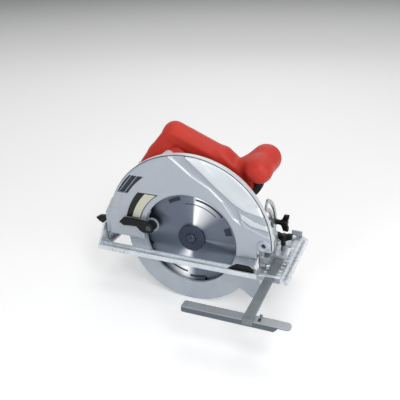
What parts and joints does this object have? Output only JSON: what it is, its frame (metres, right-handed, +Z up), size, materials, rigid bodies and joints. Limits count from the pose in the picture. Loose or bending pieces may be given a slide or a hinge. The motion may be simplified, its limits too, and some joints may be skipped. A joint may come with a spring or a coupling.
{
  "type": "circular saw",
  "caption": "Hand-held electric circular saw with a swinging lower guard, a tilting base with depth and bevel adjustment, and a parallel rip fence",
  "frame": {"origin": "centre of the arbor in the middle plane of the blade", "axes": "+X forward along the cut, +Y from the blade to the motor, +Z up from the sole"},
  "size_m": [0.3485, 0.2739, 0.2527],
  "materials": {
    "cast_alloy": "satin lacquered casting",
    "guard_sheet": "satin zinc-plated sheet",
    "zinc_plate": "bright zinc-plated pressing",
    "bright_steel": "machined",
    "plain_steel": "rolled, lightly oiled",
    "dark_steel": "blackened",
    "red_housing": "semi-gloss moulding",
    "black_plastic": "fine-textured moulding",
    "soft_black": "soft grip rubber",
    "copper": "enamelled copper",
    "brass": "drawn",
    "label": "plain printed film"
  },
  "bodies": {
    "saw_body": {"upper_guard_cover": "cast_alloy", "vent_grille": "black_plastic", "label_plate": "label", "cover_screws": "bright_steel", "gear_case": "cast_alloy", "bearing_plate": "cast_alloy", "guard_spring": "plain_steel", "guard_retainer": "guard_sheet", "guard_stop": "black_plastic", "spindle_front_bearing": "bright_steel", "spindle_rear_bearing": "bright_steel", "armature_front_bearing": "bright_steel", "armature_rear_bearing": "bright_steel", "stator": "plain_steel", "field_coils": "copper", "brush_holders": "brass", "carbon_brushes": "black_plastic", "brush_springs": "plain_steel", "brush_caps": "black_plastic", "motor_housing": "red_housing", "motor_screws": "bright_steel", "end_cover": "red_housing", "handle_near_half": "red_housing", "handle_far_half": "red_housing", "handle_screws": "bright_steel", "front_pad": "soft_black", "switch_body": "black_plastic", "cord_gland": "soft_black", "pivot_pin": "bright_steel"},
    "lower_guard": {"lower_guard": "guard_sheet", "guard_lever": "black_plastic", "lever_screw": "dark_steel"},
    "spindle": {"saw_blade": "bright_steel", "blade_tips": "bright_steel", "inner_flange": "dark_steel", "outer_flange": "dark_steel", "arbor_bolt": "dark_steel", "spindle": "plain_steel", "spindle_gear": "bright_steel"},
    "armature": {"armature_shaft": "plain_steel", "motor_pinion": "plain_steel", "armature_core": "plain_steel", "armature_windings": "copper", "commutator": "copper", "cooling_fan": "black_plastic"},
    "trigger": {"trigger": "black_plastic"},
    "lock_button": {"lock_button": "black_plastic"},
    "spindle_lock": {"spindle_lock": "black_plastic"},
    "depth_lever": {"depth_lever": "black_plastic"},
    "tilt_frame": {"front_bracket": "zinc_plate", "depth_guide": "zinc_plate"},
    "bevel_bolt": {"bevel_bolt": "black_plastic"},
    "base": {"base_plate": "zinc_plate", "base_pins": "bright_steel", "bevel_quadrant": "zinc_plate", "front_wedge": "black_plastic"},
    "fence_screw": {"fence_screw": "black_plastic"},
    "fence": {"fence_bar": "plain_steel", "fence_guide": "plain_steel"}
  },
  "joints": [
    {"name": "guard_swing", "type": "hinge", "parent": "saw_body", "child": "lower_guard", "pos_m": [0, 0, 0], "axis": [0, 1, 0], "range_deg": [0, 112], "stiffness_Nm_per_rad": 0.35, "springref_deg": -40.11},
    {"name": "spindle_spin", "type": "hinge", "parent": "saw_body", "child": "spindle", "pos_m": [0, 0.01, 0], "axis": [0, 1, 0], "continuous": true},
    {"name": "armature_spin", "type": "hinge", "parent": "saw_body", "child": "armature", "pos_m": [-0.01189, 0.06, 0.02549], "axis": [0, 1, 0], "continuous": true},
    {"name": "trigger_pull", "type": "hinge", "parent": "saw_body", "child": "trigger", "pos_m": [0.014, 0.047, 0.104], "axis": [0, 1, 0], "range_deg": [0, 8], "stiffness_Nm_per_rad": 0.6, "springref_deg": -9.74},
    {"name": "lock_press", "type": "slide", "parent": "saw_body", "child": "lock_button", "axis": [0, -1, 0], "range_m": [0, 0.0025], "stiffness_N_per_m": 300, "springref_m": -0.001},
    {"name": "spindle_lock_press", "type": "slide", "parent": "saw_body", "child": "spindle_lock", "axis": [0, -1, 0], "range_m": [0, 0.006], "stiffness_N_per_m": 200, "springref_m": -0.002},
    {"name": "depth_lever_turn", "type": "hinge", "parent": "saw_body", "child": "depth_lever", "pos_m": [-0.0955, 0.022, -0.003], "axis": [0, 1, 0], "range_deg": [0, 40]},
    {"name": "depth_pivot", "type": "hinge", "parent": "saw_body", "child": "tilt_frame", "pos_m": [0.109, 0, 0.013], "axis": [0, -1, 0], "range_deg": [0, 25]},
    {"name": "bevel_bolt_turn", "type": "hinge", "parent": "tilt_frame", "child": "bevel_bolt", "pos_m": [0.11, 0.07155, 0.00839], "axis": [1, 0, 0], "range_deg": [-180, 180]},
    {"name": "bevel_tilt", "type": "hinge", "parent": "tilt_frame", "child": "base", "pos_m": [0, -0.005, -0.021], "axis": [-1, 0, 0], "range_deg": [0, 45]},
    {"name": "fence_screw_turn", "type": "hinge", "parent": "base", "child": "fence_screw", "pos_m": [0.124, 0.038, 0], "axis": [0, 0, 1], "range_deg": [-180, 180]},
    {"name": "fence_slide", "type": "slide", "parent": "base", "child": "fence", "axis": [0, 1, 0], "range_m": [-0.016, 0.07]}
  ],
  "couplings": [
    {"joint": "armature_spin", "follows": "spindle_spin", "ratio": -4}
  ]
}
